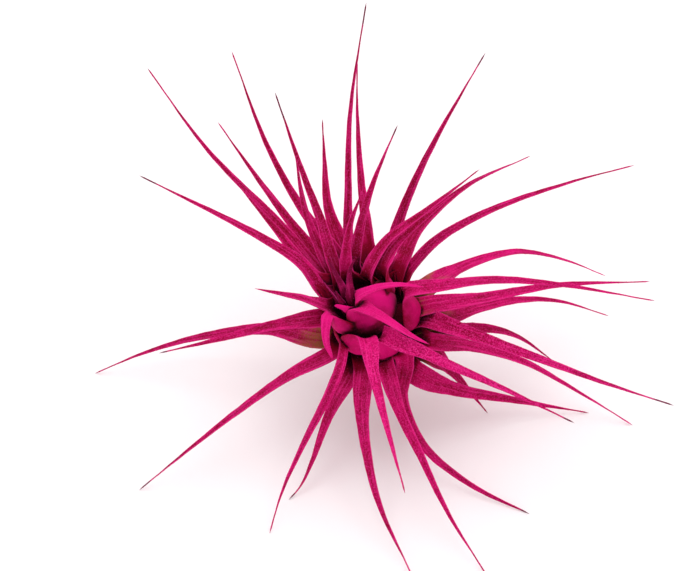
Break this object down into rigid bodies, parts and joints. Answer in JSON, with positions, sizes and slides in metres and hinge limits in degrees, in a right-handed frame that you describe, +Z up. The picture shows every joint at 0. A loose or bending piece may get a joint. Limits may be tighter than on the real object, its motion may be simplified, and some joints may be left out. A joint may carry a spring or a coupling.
{
  "type": "sky plant",
  "caption": "Air plant rosette of narrow channelled leaves on a short stem, resting on the tips of its lower leaves.",
  "frame": {"origin": "on the surface that the plant stands on, below the middle of its bounding box", "axes": "+Z up, -Y towards the front that the head leans to, +X to the right as seen from the front"},
  "size_m": [0.111, 0.089, 0.0728],
  "materials": {
    "leaf": "matt and scurfy, sprayed magenta",
    "crown_leaf": "satin, sprayed magenta",
    "heart_leaf": "matt, dark magenta",
    "stem": "rough, brown"
  },
  "bodies": {
    "root": {"stem": "stem", "heart_leaf_1": "heart_leaf", "heart_leaf_2": "heart_leaf", "heart_leaf_3": "heart_leaf", "heart_leaf_4": "heart_leaf", "heart_leaf_5": "heart_leaf", "crown_leaf_1": "crown_leaf", "crown_leaf_2": "crown_leaf", "left_leaf_1": "leaf", "crown_leaf_3": "crown_leaf", "upper_leaf_1": "leaf", "upper_leaf_2": "leaf", "upper_leaf_3": "leaf", "upper_leaf_4": "leaf", "upper_leaf_5": "leaf", "upper_leaf_6": "leaf", "upper_leaf_7": "leaf", "upper_leaf_8": "leaf", "upper_leaf_9": "leaf", "upper_leaf_10": "leaf", "upper_leaf_11": "leaf", "upper_leaf_12": "leaf", "upper_leaf_13": "leaf", "upper_leaf_14": "leaf", "upper_leaf_15": "leaf", "upper_leaf_16": "leaf", "upper_leaf_17": "leaf", "right_leaf_1": "leaf", "right_leaf_2": "leaf", "right_leaf_3": "leaf", "right_leaf_4": "leaf", "right_leaf_5": "leaf", "right_leaf_6": "leaf", "right_leaf_7": "leaf", "right_leaf_8": "leaf", "right_leaf_9": "leaf", "right_leaf_10": "leaf", "lower_leaf_1": "leaf", "lower_leaf_2": "leaf", "lower_leaf_3": "leaf", "lower_leaf_4": "leaf", "lower_leaf_5": "leaf", "lower_leaf_6": "leaf", "left_leaf_2": "leaf", "left_leaf_3": "leaf", "left_leaf_4": "leaf", "back_leaf_1": "leaf", "back_leaf_2": "leaf", "back_leaf_3": "leaf"}
  },
  "joints": []
}
